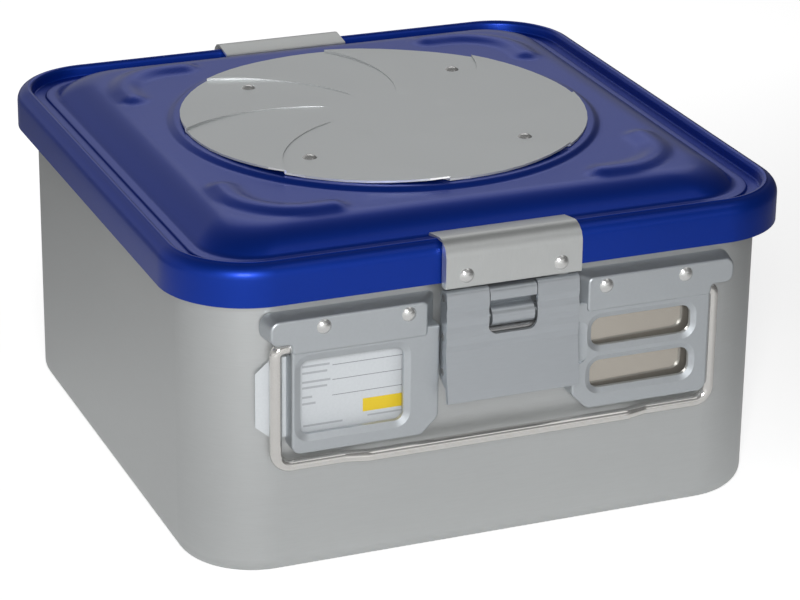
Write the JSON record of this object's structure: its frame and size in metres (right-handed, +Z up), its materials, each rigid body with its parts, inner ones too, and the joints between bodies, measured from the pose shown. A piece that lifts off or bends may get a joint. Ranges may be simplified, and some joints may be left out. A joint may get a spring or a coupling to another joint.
{
  "type": "sterilization container",
  "caption": "Square aluminium sterilization container with a blue vented lid, clamp latches, wire handles and label holders.",
  "frame": {"origin": "centre of the container's bounding box on its base plane", "axes": "+Z up, the front with the latch that the picture shows faces -Y, +X to the right seen from the front"},
  "size_m": [0.2974, 0.3154, 0.1615],
  "materials": {
    "tub_aluminium": "satin, short horizontal brush marks",
    "lid_blue": "blue anodised, satin",
    "gasket_rubber": "matte silicone",
    "vent_cover": "matte natural anodised",
    "rivets": "polished domes",
    "steel_pins": "bright turned",
    "filter_cloth": "white woven filter",
    "bracket_aluminium": "satin natural anodised",
    "holder_sheet": "fine satin",
    "polished_plate": "polished",
    "card": "white card",
    "handle_chrome": "polished chrome wire",
    "latch_aluminium": "satin extruded"
  },
  "bodies": {
    "tub": {"tub_shell": "tub_aluminium", "front_label_holder": "holder_sheet", "front_tag_holder": "holder_sheet", "front_tag_insert": "polished_plate", "front_holder_rivets": "rivets", "front_latch_base": "holder_sheet", "front_latch_base_rivets": "rivets", "front_latch_hinge_pins": "steel_pins", "rear_label_holder": "holder_sheet", "rear_tag_holder": "holder_sheet", "rear_tag_insert": "polished_plate", "rear_holder_rivets": "rivets", "rear_latch_base": "holder_sheet", "rear_latch_base_rivets": "rivets", "rear_latch_hinge_pins": "steel_pins"},
    "lid": {"lid_shell": "lid_blue", "lid_gasket": "gasket_rubber", "vent_cover_disc": "vent_cover", "vent_cover_rivets": "rivets", "vent_cover_spacers": "rivets", "filter_stud": "steel_pins", "filter_sheet": "filter_cloth", "front_clamp_bracket": "bracket_aluminium", "front_clamp_rivets": "rivets", "rear_clamp_bracket": "bracket_aluminium", "rear_clamp_rivets": "rivets"},
    "retainer": {"filter_retainer": "vent_cover"},
    "front_latch": {"front_latch_flap": "latch_aluminium", "front_latch_pins": "steel_pins"},
    "front_link": {"front_latch_link": "latch_aluminium"},
    "front_grip": {"front_handle": "handle_chrome"},
    "front_label": {"front_label_card": "card"},
    "rear_latch": {"rear_latch_flap": "latch_aluminium", "rear_latch_pins": "steel_pins"},
    "rear_link": {"rear_latch_link": "latch_aluminium"},
    "rear_grip": {"rear_handle": "handle_chrome"},
    "rear_label": {"rear_label_card": "card"}
  },
  "joints": [
    {"name": "lid_lift", "type": "slide", "parent": "tub", "child": "lid", "axis": [0, 0, 1], "range_m": [0, 0.18]},
    {"name": "retainer_turn", "type": "hinge", "parent": "lid", "child": "retainer", "pos_m": [0, 0, 0.15], "axis": [0, 0, 1], "range_deg": [0, 30]},
    {"name": "front_latch_turn", "type": "hinge", "parent": "tub", "child": "front_latch", "pos_m": [0, -0.1502, 0.126], "axis": [-1, 0, 0], "range_deg": [0, 80]},
    {"name": "front_link_turn", "type": "hinge", "parent": "front_latch", "child": "front_link", "pos_m": [0, -0.1503, 0.115], "axis": [1, 0, 0], "range_deg": [0, 120]},
    {"name": "front_handle_swing", "type": "hinge", "parent": "tub", "child": "front_grip", "pos_m": [0, -0.1444, 0.1107], "axis": [-1, 0, 0], "range_deg": [0, 90]},
    {"name": "front_label_slide", "type": "slide", "parent": "tub", "child": "front_label", "axis": [-1, 0, 0], "range_m": [0, 0.08]},
    {"name": "rear_latch_turn", "type": "hinge", "parent": "tub", "child": "rear_latch", "pos_m": [0, 0.1502, 0.126], "axis": [1, 0, 0], "range_deg": [0, 80]},
    {"name": "rear_link_turn", "type": "hinge", "parent": "rear_latch", "child": "rear_link", "pos_m": [0, 0.1503, 0.115], "axis": [-1, 0, 0], "range_deg": [0, 120]},
    {"name": "rear_handle_swing", "type": "hinge", "parent": "tub", "child": "rear_grip", "pos_m": [0, 0.1444, 0.1107], "axis": [1, 0, 0], "range_deg": [0, 90]},
    {"name": "rear_label_slide", "type": "slide", "parent": "tub", "child": "rear_label", "axis": [1, 0, 0], "range_m": [0, 0.08]}
  ],
  "couplings": [
    {"joint": "front_link_turn", "follows": "front_latch_turn", "ratio": 1.5},
    {"joint": "rear_link_turn", "follows": "rear_latch_turn", "ratio": 1.5}
  ]
}
